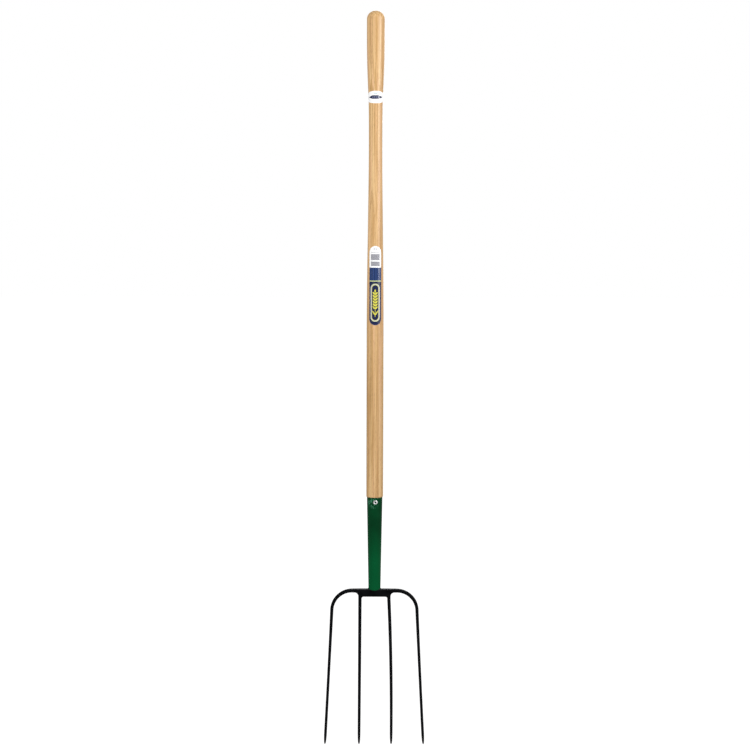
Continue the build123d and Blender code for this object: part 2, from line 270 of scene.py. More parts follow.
def bar_path(tree, path):
    """The path as a curve that keeps its place and the section's two directions at each point."""
    curve = new_node(tree, "GeometryNodeMeshToCurve", Mesh=path)
    tangent = tree.nodes.new("GeometryNodeInputTangent").outputs["Tangent"]
    position = tree.nodes.new("GeometryNodeInputPosition").outputs["Position"]
    side = vector_math(tree, "NORMALIZE", vector_math(tree, "CROSS_PRODUCT", tangent, (0.0, 1.0, 0.0)))
    back = vector_math(tree, "CROSS_PRODUCT", side, tangent)
    kept = stored(tree, curve.outputs["Curve"], "bar_centre", position)
    kept = stored(tree, kept, "bar_side", side)
    return stored(tree, kept, "bar_back", back)


def bar_section(tree, points, squareness):
    """A circle that keeps the squared outline of the section."""
    circle = new_node(tree, "GeometryNodeCurvePrimitiveCircle", Resolution=points, Radius=1.0)
    position = tree.nodes.new("GeometryNodeInputPosition").outputs["Position"]
    split = new_node(tree, "ShaderNodeSeparateXYZ", Vector=position).outputs
    squared = {axis: power_of(tree, split[axis], squareness) for axis in ("X", "Y")}
    outline = new_node(tree, "ShaderNodeCombineXYZ", **squared)
    return stored(tree, circle.outputs["Curve"], "bar_section", outline.outputs[0])


def bar_places(tree):
    """Where each point of the swept bar belongs."""
    section = named(tree, "bar_section", "FLOAT_VECTOR")
    split = new_node(tree, "ShaderNodeSeparateXYZ", Vector=section).outputs
    place = named(tree, "bar_centre", "FLOAT_VECTOR")
    for axis, size, direction in (("X", "half_width", "bar_side"), ("Y", "half_depth", "bar_back")):
        far = math_node(tree, "MULTIPLY", split[axis], named(tree, size, "FLOAT"))
        offset = vector_math(tree, "SCALE", named(tree, direction, "FLOAT_VECTOR"), far)
        place = vector_math(tree, "ADD", place, offset)
    return place


def bar_tree():
    """Sweeps a rounded section along a path whose points carry half_width and half_depth.

    Section Points is the number of points round the section. Squareness is the exponent of the
    section's outline: 1 is an ellipse, and smaller values square it up.
    """
    tree = bpy.data.node_groups.new("Tapered bar", "GeometryNodeTree")
    face = tree.interface
    face.new_socket("Path", in_out="INPUT", socket_type="NodeSocketGeometry")
    points = face.new_socket("Section Points", in_out="INPUT", socket_type="NodeSocketInt")
    points.default_value = 32
    square = face.new_socket("Squareness", in_out="INPUT", socket_type="NodeSocketFloat")
    square.default_value = 1.0
    face.new_socket("Finish", in_out="INPUT", socket_type="NodeSocketMaterial")
    face.new_socket("Bar", in_out="OUTPUT", socket_type="NodeSocketGeometry")
    given = tree.nodes.new("NodeGroupInput")

    path = bar_path(tree, given.outputs["Path"])
    section = bar_section(tree, given.outputs["Section Points"], given.outputs["Squareness"])
    sweep = new_node(tree, "GeometryNodeCurveToMesh", Curve=path, Profile_Curve=section, Fill_Caps=True)
    swept, place = sweep.outputs["Mesh"], bar_places(tree)
    bare = new_node(tree, "GeometryNodeSetPosition", Geometry=swept, Position=place).outputs[0]
    for name in ("bar_centre", "bar_side", "bar_back", "bar_section", "half_width", "half_depth"):
        bare = new_node(tree, "GeometryNodeRemoveAttribute", Geometry=bare, Name=name).outputs[0]
    real = new_node(tree, "GeometryNodeRealizeInstances", Geometry=bare).outputs[0]
    finish = given.outputs["Finish"]
    paint = new_node(tree, "GeometryNodeSetMaterial", Geometry=real, Material=finish)
    new_node(tree, "NodeGroupOutput", Bar=paint.outputs[0])
    return tree


BAR_TREE = bar_tree()


def bar(name, stations, material, section_points=32, squareness=1.0):
    """A bar swept through stations, each (place, half width, half depth)."""
    mesh = bpy.data.meshes.new(name)
    count = len(stations)
    mesh.from_pydata([s[0] for s in stations], [(i, i + 1) for i in range(count - 1)], [])
    for column, size in ((1, "half_width"), (2, "half_depth")):
        values = mesh.attributes.new(size, "FLOAT", "POINT")
        values.data.foreach_set("value", [s[column] for s in stations])
    piece = add_object(name, mesh)
    modifier = piece.modifiers.new("Tapered bar", "NODES")
    modifier.node_group = BAR_TREE
    settings = {"Section Points": section_points, "Squareness": squareness, "Finish": material}
    for item in BAR_TREE.interface.items_tree:
        if item.name in settings and item.in_out == "INPUT":
            modifier[item.identifier] = settings[item.name]
    piece.update_tag()
    bpy.context.view_layer.update()
    piece = flat_copy(piece)
    outward(piece)
    return piece


# ---- materials
class Finish:
    """A node material under construction. Its methods return output sockets.

    Scales of noise are cells per metre, and distances are metres.
    """

    def __init__(self, name):
        self.material = bpy.data.materials.new(name)
        self.material.use_nodes = True
        self.tree = self.material.node_tree
        self.tree.nodes.clear()
        self.shader = self.tree.nodes.new("ShaderNodeBsdfPrincipled")
        new_node(self.tree, "ShaderNodeOutputMaterial", Surface=self.shader.outputs[0])
        self.place = self.tree.nodes.new("ShaderNodeTexCoord").outputs["Object"]

    def math(self, operation, *values):
        return math_node(self.tree, operation, *values)

    def plus(self, one, other):
        return self.math("ADD", one, other)

    def minus(self, one, other):
        return self.math("SUBTRACT", one, other)

    def times(self, one, other):
        return self.math("MULTIPLY", one, other)

    def over(self, one, other):
        return self.math("DIVIDE", one, other)

    def size(self, value):
        return self.math("ABSOLUTE", value)

    def rest(self, value):
        """What is left of 1."""
        return self.math("SUBTRACT", 1.0, value)

    def diagonal(self, one, other):
        """Length of the diagonal over two sides at a right angle."""
        return self.math("SQRT", self.plus(self.math("POWER", one, 2.0), self.math("POWER", other, 2.0)))

    def step(self, value, edge, soft):
        """0 below edge and 1 above it, softened over a width of soft."""
        low, high = edge - soft / 2, edge + soft / 2
        node = new_node(self.tree, "ShaderNodeMapRange", Value=value, From_Min=low, From_Max=high)
        node.interpolation_type = "SMOOTHSTEP"
        return node.outputs["Result"]

    def remap(self, value, from_low, from_high, to_low, to_high):
        """Takes from_low to to_low and from_high to to_high, in a straight line and no further."""
        ends = {"From Min": from_low, "From Max": from_high, "To Min": to_low, "To Max": to_high}
        return new_node(self.tree, "ShaderNodeMapRange", Value=value, **ends).outputs["Result"]

    def spread(self, noise, low=0.0, high=1.0):
        """Spreads the middle of a noise, where nearly all of it is, from low to high."""
        return self.remap(noise, 0.3, 0.7, low, high)

    def stretched(self, scale, shift=(0.0, 0.0, 0.0)):
        """Places scaled along each axis, then shifted."""
        node = new_node(self.tree, "ShaderNodeMapping", Vector=self.place, Scale=scale, Location=shift)
        return node.outputs["Vector"]

    def noise(self, vector, scale, detail=3.0, roughness=0.5):
        kind = "ShaderNodeTexNoise"
        node = new_node(self.tree, kind, Vector=vector, Scale=scale, Detail=detail, Roughness=roughness)
        return node.outputs["Fac"]

    def grain(self, across, along, detail, shift=(0.0, 0.0, 0.0), roughness=0.5):
        """Noise drawn out along Z, with its own count of cells across and along the grain."""
        return self.noise(self.stretched((across, across, along), shift), 1.0, detail, roughness)

    def split(self, vector):
        """The X, Y and Z of a vector."""
        return new_node(self.tree, "ShaderNodeSeparateXYZ", Vector=vector).outputs

    def mix(self, factor, low, high, blend="MIX"):
        """The colour low where factor is 0 and high where it is 1."""
        node = self.tree.nodes.new("ShaderNodeMix")
        node.data_type = "RGBA"
        node.blend_type = blend
        colours = [s for s in node.inputs if s.type == "RGBA"]
        put(self.tree, node.inputs["Factor"], factor)
        for socket, value in zip(colours, (low, high)):
            put(self.tree, socket, value)
        return next(s for s in node.outputs if s.type == "RGBA")

    def bump(self, *layers):
        """Stacks (height, strength, distance) layers into one normal."""
        normal = None
        for height, strength, distance in layers:
            under = {"Normal": normal} if normal else {}
            kind = "ShaderNodeBump"
            node = new_node(self.tree, kind, Height=height, Strength=strength, Distance=distance, **under)
            normal = node.outputs["Normal"]
        self.set(Normal=normal)

    def set(self, **values):
        """Sets sockets of the shader, with underscores for spaces in their names."""
        for name, value in values.items():
            put(self.tree, self.shader.inputs[name.replace("_", " ")], value)


PITH_LEFT, PITH_FRONT = 30.0 * MM, 52.0 * MM  # from the shaft's axis to the middle of the tree
RING_WIDTH, RING_DRIFT, RING_SWAY = 3.1 * MM, 11.0 * MM, 2.2 * MM
BUTT_FADE_Z, BUTT_FADE = 0.17, 0.34
# Height and fade of the painted shade on the wood just above the socket.
JOINT_SHADE_HEIGHT, JOINT_SHADE_FADE = 1.2 * MM, 3.0 * MM

WOOD_BROWN = (0.560, 0.325, 0.125, 1)
WOOD_PALE = (0.840, 0.575, 0.290, 1)
WOOD_PINK = (0.790, 0.490, 0.270, 1)
WOOD_EARLY = (0.520, 0.305, 0.120, 1)
WOOD_FIBRE = (0.52, 0.32, 0.14, 1)
WOOD_DASH = (0.36, 0.205, 0.085, 1)
WOOD_PORE = (0.27, 0.145, 0.055, 1)
WOOD_JOINT_SHADE = (0.20, 0.15, 0.09, 1)
TONE_TINT = (0.88, 0.83, 0.80, 1)
BUTT_TINT = (0.89, 0.885, 0.86, 1)


def ash_varnished():
    """Straight-grained ash: growth rings, fibre streaks and open pores, under satin varnish."""
    ash = Finish("ash_varnished")
    # The tree's pith lies well outside the shaft, and the grain drifts slowly along it.
    drift = ash.noise(ash.stretched((1.0, 1.0, 1.6)), 2.2, 1.0)
    sway = ash.grain(30.0, 5.0, 2.0, shift=(3.0, 1.0, 7.0))
    x, y, z = ash.split(ash.place)
    reach = ash.diagonal(ash.plus(x, PITH_LEFT), ash.plus(y, PITH_FRONT))
    reach = ash.plus(reach, ash.times(drift, RING_DRIFT))
    reach = ash.plus(reach, ash.times(sway, RING_SWAY))
    ring = ash.math("FRACT", ash.over(reach, RING_WIDTH))
    early = ash.times(ash.step(ring, 0.12, 0.14), ash.rest(ash.step(ring, 0.45, 0.34)))
    fibre = ash.grain(1150.0, 16.0, 4.0, roughness=0.6)
    streak = ash.grain(360.0, 4.5, 3.0, shift=(5.0, 2.0, 0.0))
    blush = ash.grain(210.0, 3.0, 2.0, shift=(9.0, 4.0, 1.0))
    tone = ash.grain(60.0, 3.2, 2.0, shift=(1.0, 8.0, 2.0))
    pores = ash.times(ash.step(ash.grain(2400.0, 130.0, 1.0), 0.62, 0.06), early)
    dashes = ash.step(ash.grain(900.0, 75.0, 2.0, shift=(2.0, 6.0, 4.0)), 0.66, 0.08)

    base = ash.mix(ash.step(streak, 0.50, 0.20), WOOD_BROWN, WOOD_PALE)
    base = ash.mix(ash.step(blush, 0.60, 0.14), base, WOOD_PINK)
    base = ash.mix(ash.times(early, 0.50), base, WOOD_EARLY)
    base = ash.mix(ash.step(tone, 0.5, 0.4), base, ash.mix(1.0, base, TONE_TINT, "MULTIPLY"))
    base = ash.mix(ash.remap(fibre, 0.35, 0.65, 0.0, 0.34), base, WOOD_FIBRE)
    base = ash.mix(ash.times(dashes, 0.60), base, WOOD_DASH)
    base = ash.mix(ash.times(pores, 0.75), base, WOOD_PORE)
    # The lower part of the shaft is made a little greyer and darker than the top.
    butt = ash.rest(ash.step(z, BUTT_FADE_Z, BUTT_FADE))
    base = ash.mix(butt, base, ash.mix(1.0, base, BUTT_TINT, "MULTIPLY"))
    # Painted shade: the wood is darkened in the last millimetres above the socket, where the shoulder meets
    # the mouth.
    joint_shade = ash.rest(ash.step(z, SHOULDER_Z + JOINT_SHADE_HEIGHT, JOINT_SHADE_FADE))
    base = ash.mix(ash.times(joint_shade, 0.45), base, WOOD_JOINT_SHADE)
    polish = ash.grain(40.0, 9.0, 2.0)
    ash.set(Base_Color=base, Roughness=ash.spread(polish, 0.38, 0.52), IOR=1.5)
    ash.set(Coat_Weight=0.12, Coat_Roughness=0.30)
    ash.bump((fibre, 0.25, 0.00012), (pores, 0.35, 0.00015), (tone, 0.35, 0.0004))
    return ash.material


GREEN_DEEP = (0.0005, 0.032, 0.0092, 1)
GREEN_CLOUD = (0.0008, 0.046, 0.0135, 1)
GREEN_PAINTED_LIGHT = (0.0005, 0.077, 0.0225, 1)
GREEN_CHIP = (0.085, 0.330, 0.190, 1)
BARE_RIM = (0.20, 0.20, 0.19, 1)
# Height and fade of the painted light that lightens the green towards the foot.
PAINTED_LIGHT_HEIGHT, PAINTED_LIGHT_FADE = 0.105, 0.11  # from the socket's foot to the middle of the fade
CRAZE_LEFT, CRAZE_BELOW = 5.0 * MM, 1.0 * MM  # from the rivet to the middle of the crazed paint
CRAZE_R, CRAZE_FADE = 11.0 * MM, 10.0 * MM


def green_enamel():
    """Glossy stoved enamel over tube: slight orange peel, painted light that lightens it towards the foot,
    chipped at rim and rivet.
    """
    green = Finish("socket_green_enamel")
    x, y, z = green.split(green.place)
    cloud = green.noise(green.place, 38.0, 3.0)
    peel = green.noise(green.place, 850.0, 2.0)
    ripple = green.noise(green.stretched((1.0, 1.0, 0.35)), 95.0, 2.0)
    # Painted light: the green is lightened towards the foot, where the lower part of the socket is more lit.
    painted_light = green.rest(green.step(z, SOCKET_LOW[2] + PAINTED_LIGHT_HEIGHT, PAINTED_LIGHT_FADE))
    base = green.mix(green.spread(cloud), GREEN_DEEP, GREEN_CLOUD)
    base = green.mix(painted_light, base, GREEN_PAINTED_LIGHT)
    # Paint crazed and chipped where the rivet's head was hammered down, and worn at the mouth's rim.
    across = green.minus(x, RIVET_X - CRAZE_LEFT)
    along = green.minus(z, RIVET_Z - CRAZE_BELOW)
    near = green.rest(green.step(green.diagonal(across, along), CRAZE_R, CRAZE_FADE))
    near = green.times(near, green.rest(green.step(y, -0.008, 0.002)))
    craze = green.noise(green.stretched((1.0, 1.0, 0.40)), 520.0, 3.0, 0.7)
    chips = green.times(near, green.step(craze, 0.555, 0.035))
    base = green.mix(green.times(chips, 0.95), base, GREEN_CHIP)
    rim = green.times(green.step(z, SOCKET_HIGH[2] - 0.6 * MM, 0.8 * MM), green.step(craze, 0.56, 0.06))
    base = green.mix(rim, base, BARE_RIM)
    green.set(Base_Color=base, Roughness=green.spread(cloud, 0.20, 0.30), IOR=1.45, Specular_IOR_Level=0.12)
    green.bump((ripple, 0.5, 0.0007), (peel, 0.22, 0.00010), (chips, 0.5, 0.0002))
    return green.material


BLACK_DEEP = (0.0012, 0.0013, 0.0016, 1)
BLACK_CLOUD = (0.0046, 0.0050, 0.0058, 1)
RUBBED_TIP = (0.08, 0.076, 0.072, 1)
TOP_EDGE_HIGHLIGHT = (0.055, 0.057, 0.062, 1)
RUB_HEIGHT, RUB_FADE = 12.0 * MM, 20.0 * MM


def black_enamel():
    """Black enamel over forged scale: soft hammer facets, fine grit, rubbed points, and a painted highlight
    along the crossbar's top edge.
    """
    black = Finish("forged_black_enamel")
    z = black.split(black.place)["Z"]
    facets = black.noise(black.place, 130.0, 2.0)
    grit = black.noise(black.place, 1500.0, 2.0)
    cloud = black.noise(black.place, 45.0, 3.0)
    wear = black.noise(black.place, 420.0, 3.0, 0.65)
    base = black.mix(black.spread(cloud), BLACK_DEEP, BLACK_CLOUD)
    tip = black.rest(black.step(z, TIP_Z + RUB_HEIGHT, RUB_FADE))
    rub = black.times(tip, black.step(wear, 0.56, 0.10))
    base = black.mix(black.times(rub, 0.6), base, RUBBED_TIP)
    # Painted highlight: a grey line along the crossbar's top edge, broken up by the wear noise.
    top_highlight = black.times(black.step(z, YOKE_TOP_Z - 1.2 * MM, 1.6 * MM), black.step(wear, 0.46, 0.16))
    base = black.mix(black.times(top_highlight, 0.5), base, TOP_EDGE_HIGHLIGHT)
    black.set(Base_Color=base, Roughness=black.spread(cloud, 0.38, 0.50), IOR=1.45, Specular_IOR_Level=0.05)
    black.bump((facets, 0.40, 0.0006), (grit, 0.08, 0.00005))
    return black.material


STEEL_DULL = (0.78, 0.78, 0.77, 1)
STEEL_BRIGHT = (0.95, 0.95, 0.94, 1)
# Near-black painted shade in the rivet's hollow, with its radius and its fade.
HOLLOW_SHADE = (0.05, 0.048, 0.045, 1)
HOLLOW_SHADE_R, HOLLOW_SHADE_FADE = 1.9 * MM, 0.5 * MM


def bright_steel():
    """Bright rolled steel with fine turning marks and painted shade in the hollow."""
    steel = Finish("rivet_bright_steel")
    cloud = steel.noise(steel.place, 600.0, 3.0)
    marks = steel.noise(steel.stretched((1.0, 1.0, 6.0)), 1400.0, 2.0)
    places = steel.split(steel.place)
    from_axis = steel.diagonal(steel.minus(places["X"], RIVET_X), steel.minus(places["Z"], RIVET_Z))
    # Painted shade: the hollow is painted near black, where shade falls inside it.
    hollow = steel.rest(steel.step(from_axis, HOLLOW_SHADE_R, HOLLOW_SHADE_FADE))
    base = steel.mix(steel.spread(cloud), STEEL_DULL, STEEL_BRIGHT)
    base = steel.mix(hollow, base, HOLLOW_SHADE)
    steel.set(Base_Color=base, Metallic=0.85, Roughness=steel.spread(cloud, 0.46, 0.60))
    steel.bump((marks, 0.3, 0.00005))
    return steel.material


# ---- label prints
WHITE = (0.95, 0.95, 0.95, 1)
NAVY = (0.006, 0.012, 0.060, 1)
BLUE = (0.010, 0.030, 0.112, 1)
YELLOW = (0.66, 0.62, 0.075, 1)
SILVER = (0.50, 0.51, 0.50, 1)
GREY = (0.07, 0.07, 0.11, 1)
STRIPE_BLUE = (0.07, 0.14, 0.40, 1)
PALE_LINE = (0.55, 0.60, 0.28, 1)
PALE_RIM = (0.60, 0.63, 0.32, 1)
EDGE_BLUE = (0.12, 0.13, 0.24, 1)
LOZENGE_BLUE = (0.45, 0.50, 0.66, 1)
SPRIG_TEAL = (0.22, 0.42, 0.45, 1)

INK_SOFT = 0.18  # how far, in mm, the edge of an ink is softened
BAND_TOP, PANEL_TOP = 0.729, 0.560  # shares of the long label's height
EAR_FOOT, EAR_ROWS, GRAIN_PITCH = 0.205, 6, 6.4
CELL_PITCH = 4.2


class Print(Finish):
    """A label finish drawn in millimetres from the label's own print_mm attribute."""

    def __init__(self, name, height=1.0):
        super().__init__(name)
        source = self.tree.nodes.new("ShaderNodeAttribute")
        source.attribute_name = "print_mm"
        places = self.split(source.outputs["Vector"])
        self.u, self.v = places["X"], places["Y"]
        self.across = self.size(self.u)
        self.height = height

    def below(self, value, edge):
        """1 where value is under edge."""
        return self.rest(self.step(value, edge, INK_SOFT))

    def both(self, *masks):
        """1 where every mask is."""
        result = masks[0]
        for mask in masks[1:]:
            result = self.times(result, mask)
        return result

    def either(self, *masks):
        """1 where any mask is."""
        result = masks[0]
        for mask in masks[1:]:
            result = self.math("MAXIMUM", result, mask)
        return result

    def between(self, value, low, high):
        return self.both(self.step(value, low, INK_SOFT), self.below(value, high))

    def under(self, share):
        """1 under a share of the label's height."""
        return self.below(self.v, share * self.height)

    def row(self, low, high):
        """1 between two shares of the label's height."""
        return self.between(self.v, low * self.height, high * self.height)

    def slot_distance(self, low, high, half):
        """Distance outwards from an upright slot with round ends, between two shares of the height."""
        low, high = low * self.height, high * self.height
        rise = self.size(self.minus(self.v, (low + high) / 2))
        rise = self.math("MAXIMUM", self.minus(rise, (high - low) / 2 - half), 0.0)
        return self.minus(self.diagonal(self.across, rise), half)

    def leaf(self, rise, middle_u, turn, half_long, half_wide):
        """1 inside an ellipse at (middle_u, 0) of (across, rise), turned from upright by turn degrees."""
        c, s = cos(radians(turn)), sin(radians(turn))
        du = self.minus(self.across, middle_u)
        long = self.plus(self.times(du, s), self.times(rise, c))
        wide = self.minus(self.times(du, c), self.times(rise, s))
        long = self.math("POWER", self.over(long, half_long), 2.0)
        wide = self.math("POWER", self.over(wide, half_wide), 2.0)
        return self.rest(self.step(self.plus(long, wide), 1.0, 0.25))

    def laminated(self, colour):
        """The finished film: colour under a glossy laminate that is a little uneven."""
        haze = self.noise(self.place, 240.0, 3.0)
        self.set(Base_Color=colour, Roughness=self.spread(haze, 0.20, 0.34), IOR=1.48)
        self.set(Coat_Weight=0.3, Coat_Roughness=0.12)
        self.bump((haze, 0.12, 0.0003))
        return self.material


def banded_head(film):
    """White head with plain grey bars and dots, over a blue band in faint upright stripes."""
    colour = film.mix(film.under(BAND_TOP), WHITE, BLUE)
    stripe = film.math("SINE", film.times(film.u, 1.1))
    stripe = film.times(film.remap(stripe, 0.2, 1.0, 0.0, 0.28), film.under(BAND_TOP))
    colour = film.mix(stripe, colour, STRIPE_BLUE)
    # Close upright bars, then a wider one at the right.
    thin_bars = film.math("FRACT", film.plus(film.times(film.u, 0.62), 0.3))
    bars = film.remap(film.step(thin_bars, 0.36, 0.2), 0.0, 1.0, 0.62, 0.90)
    bars = film.either(bars, film.between(film.u, 7.0, 10.2))
    faint = film.times(film.row(0.914, 0.926), 0.55)
    rows = film.either(film.row(0.748, 0.806), film.row(0.822, 0.900), faint)
    bars = film.both(bars, rows, film.below(film.across, 10.2))
    colour = film.mix(film.times(bars, 0.92), colour, GREY)
    dots = film.step(film.math("FRACT", film.times(film.u, 0.45)), 0.45, 0.2)
    dots = film.both(dots, film.row(0.955, 0.972), film.below(film.across, 5.0))
    return film.mix(film.times(dots, 0.8), colour, GREY)


def slotted_panel(film, colour):
    """Navy panel under a pale line, with a silver and yellow slot outlined on it."""
    colour = film.mix(film.under(PANEL_TOP), colour, NAVY)
    colour = film.mix(film.times(film.row(0.552, 0.566), 0.9), colour, PALE_LINE)
    slot = film.slot_distance(0.047, 0.525, 10.6)
    colour = film.mix(film.between(slot, -2.6, 0.2), colour, SILVER)
    colour = film.mix(film.between(slot, -3.2, -2.4), colour, YELLOW)
    from_middle = film.size(film.minus(film.v, 0.286 * film.height))
    ends = film.step(from_middle, 0.205 * film.height, 6.0)
    return film.mix(film.times(film.between(slot, -0.8, 0.3), ends), colour, PALE_RIM)


def wheat_ear(film):
    """1 on an ear of wheat: paired grains up a stem, a last grain on top, and two blades."""
    first = EAR_FOOT * film.height
    last = first + EAR_ROWS * GRAIN_PITCH
    share = film.math("FRACT", film.over(film.minus(film.v, first), GRAIN_PITCH))
    rise = film.minus(film.times(share, GRAIN_PITCH), GRAIN_PITCH / 2)
    grains = film.both(film.leaf(rise, 2.9, 38.0, 3.7, 1.75), film.between(film.v, first, last))
    top = film.leaf(film.minus(film.v, last + 2.2), 0.0, 0.0, 3.6, 1.7)
    stem = film.both(film.below(film.across, 0.55), film.between(film.v, 0.105 * film.height, last))
    blade = film.leaf(film.minus(film.v, 0.155 * film.height), 3.1, 33.0, 6.4, 1.35)
    return film.either(grains, top, stem, blade)


def shaft_label_print(height):
    """White head with plain bars, blue band, and a navy panel with a wheat ear in a silver slot."""
    film = Print("shaft_label_print", height)
    colour = slotted_panel(film, banded_head(film))
    colour = film.mix(wheat_ear(film), colour, YELLOW)
    # A duller line round the edge of the printed blue.
    edge = film.step(film.slot_distance(0.0, 1.0, 14.5), -0.7, 0.2)
    colour = film.mix(film.times(edge, film.under(0.73)), colour, EDGE_BLUE)
    return film.laminated(colour)


def grip_label_print():
    """White oval with a navy lozenge, plain pale lozenges in a row on it, and a pale teal sprig above."""
    film = Print("grip_label_print")
    rise = film.size(film.v)
    lozenge = film.plus(film.over(film.across, 16.0), film.over(rise, 5.6))
    lozenge = film.both(film.below(rise, 3.9), film.rest(film.step(lozenge, 1.15, 0.05)))
    colour = film.mix(lozenge, WHITE, NAVY)
    cell = film.minus(film.math("FRACT", film.over(film.u, CELL_PITCH)), 0.5)
    cell = film.plus(film.times(film.size(cell), CELL_PITCH), rise)
    cells = film.both(film.rest(film.step(cell, 1.9, 0.4)), film.below(film.across, 9.0))
    colour = film.mix(film.times(cells, 0.40), colour, LOZENGE_BLUE)
    sprig = film.leaf(film.minus(film.v, 8.0), 2.2, 50.0, 3.2, 1.1)
    colour = film.mix(film.times(sprig, 0.7), colour, SPRIG_TEAL)
    return film.laminated(colour)


ASH = ash_varnished()
GREEN = green_enamel()
BLACK = black_enamel()
STEEL = bright_steel()


# ---- shaft
SHAFT_ROWS = 240
SHAFT_SIDES = 96
TENON_CHAMFER = 1.5 * MM
GRIP_END_R = 0.3 * MM  # the flat left at the very top


def tenon_radius(z):
    """Radius of the tenon, which fits the inside of the socket."""
    return socket_radius(z) - SOCKET_WALL - FIT_GAP


def stick_outline():
    """(height, radius) from the tenon's end to the top of the grip."""
    top, low = GRIP_HIGH[2], SHAFT_LOW[2]
    outline = [(low, tenon_radius(low) - TENON_CHAMFER), (low + TENON_CHAMFER, tenon_radius(low))]
    for share in (0.3, 0.6, 0.9, 0.999):
        z = low + (SHOULDER_Z - low) * share
        outline.append((z, tenon_radius(z)))
    edge = SHAFT_R - SHOULDER_ROUND
    outline += [(SHOULDER_Z, tenon_radius(SHOULDER_Z) + FIT_GAP), (SHOULDER_Z, edge - 2 * FIT_GAP)]
    outline += arc((SHOULDER_Z + SHOULDER_ROUND, edge), SHOULDER_ROUND, 180, 90, 6)
    start, stop = SHOULDER_Z + 2 * SHOULDER_ROUND, top - GRIP_ROUND
    for step in range(SHAFT_ROWS + 1):
        z = start + (stop - start) * step / SHAFT_ROWS
        outline.append((z, shaft_radius(z)))
    outline += arc((stop, GRIP_R - GRIP_ROUND), GRIP_ROUND, 85, 0, 17)
    outline.append((top, GRIP_END_R))
    return outline


def shaft_piece():
    """The whole turned stick: tenon, square shoulder, straight stretch, neck and swelled grip."""
    stations = []
    for z, r in stick_outline():
        # Two stations at one height would have no direction, so each is set a hair above the last.
        if stations and z <= stations[-1][0][2]:
            z = stations[-1][0][2] + 1e-6
        stations.append(((0.0, 0.0, z), r, r))
    piece = bar("turned_shaft", stations, ASH, section_points=SHAFT_SIDES)
    return finish_piece(piece, ASH, "ash", "shaft", "grip")


# ---- socket
SOCKET_COLUMNS = 120
FOOT_LIP = 0.8 * MM
FOOT_BLEND = 14.0 * MM  # the arched foot evens out over this height
DISH_DEPTH, DISH_R = 0.55 * MM, 7.5 * MM
WRINKLE_DEPTH, WRINKLE_R, WRINKLE_PITCH = 0.07 * MM, 11.0 * MM, 1.35 * MM
SEAM_DEPTH, SEAM_WELD_RISE = 1.55 * MM, 0.25 * MM
SEAM_HALF = SEAM_WIDTH / 2


def socket_angles():
    """Angles of the socket's columns: evenly spaced, with more of them at the seam's edges."""
    unit = SEAM_HALF / MOUTH_R
    close = [pi / 2 + off * unit for off in (-2.2, -1.0, -0.7, 0.7, 1.0, 2.2)]
    even = [2 * pi * (i + 0.5) / SOCKET_COLUMNS for i in range(SOCKET_COLUMNS)]
    # An even column that would crowd the outermost close one is left out.
    return sorted(close + [a for a in even if not 2.3 * unit <= abs(a - pi / 2) < 2.4 * unit])


def socket_heights():
    """Heights of the socket's rings: close ones in the top 30 mm, where the rivet's dish is."""
    top = SOCKET_HIGH[2]
    heights = []
    z = YOKE_TOP_Z
    while z < top - SOCKET_WALL / 2 - 0.2 * MM:
        heights.append(z)
        z += 3.0 * MM if z < top - 30.0 * MM else 1.0 * MM
    return heights


def dished(x, y, z, half_y):
    """Dished where the rivet's head was drawn down, with small ring wrinkles round it."""
    far = sqrt((x - RIVET_X) ** 2 + (z - RIVET_Z) ** 2)
    dish = DISH_DEPTH * exp(-((far / DISH_R) ** 2))
    wrinkle = WRINKLE_DEPTH * sin(far / WRINKLE_PITCH) * exp(-((far / WRINKLE_R) ** 2))
    pull = 1 - (dish + wrinkle) / half_y
    return x * pull, y * pull


def seam_depth(off, z):
    """Depth of the seam at off to its side: an open slit that is welded shut low down."""
    stop = YOKE_TOP_Z + SEAM_STOP
    open_here = smooth_step(stop - 3.0 * MM, stop + 3.0 * MM, z)
    deep = SEAM_DEPTH * open_here - SEAM_WELD_RISE * (1 - open_here)
    return deep * (1 - smooth_step(SEAM_HALF * 0.75, SEAM_HALF * 1.15, off))


def foot_drop(z):
    """How far the arched foot reaches below z at the front and back."""
    return TONGUE * (1 - smooth_step(YOKE_TOP_Z, YOKE_TOP_Z + FOOT_BLEND, z))


def socket_point(angle, z, inset, drop):
    """A point of the socket, inset from its outside and dropped at the front and back."""
    half_x = socket_radius(z) - inset
    half_y = socket_half_depth(z) - inset
    x, y = half_x * cos(angle), half_y * sin(angle)
    outside = inset < SOCKET_WALL / 2
    if outside and y < 0:
        x, y = dished(x, y, z, half_y)
    off = abs(angle - pi / 2) * socket_radius(z)
    if outside and off < SEAM_HALF * 1.6:
        y -= seam_depth(off, z)
    return (x, y, z - drop * sin(angle) ** 2)


def socket_rings(around):
    """Rings of points: round the foot's lip, up the outside, over the mouth and down the inside."""
    heights = socket_heights()
    half_wall = SOCKET_WALL / 2
    passes = []
    for step in range(5):
        turn = radians(45.0 * step)
        passes.append((YOKE_TOP_Z + FOOT_LIP * (1 - sin(turn)), half_wall * (1 + cos(turn)), TONGUE))
    passes += [(z, 0.0, foot_drop(z)) for z in heights[1:]]
    for step in range(7):
        turn = radians(30.0 * step)
        passes.append((SOCKET_HIGH[2] - half_wall * (1 - sin(turn)), half_wall * (1 - cos(turn)), 0.0))
    passes += [(z, SOCKET_WALL, foot_drop(z)) for z in reversed(heights[2::3])]
    return [[socket_point(angle, z, inset, drop) for angle in around] for z, inset, drop in passes]


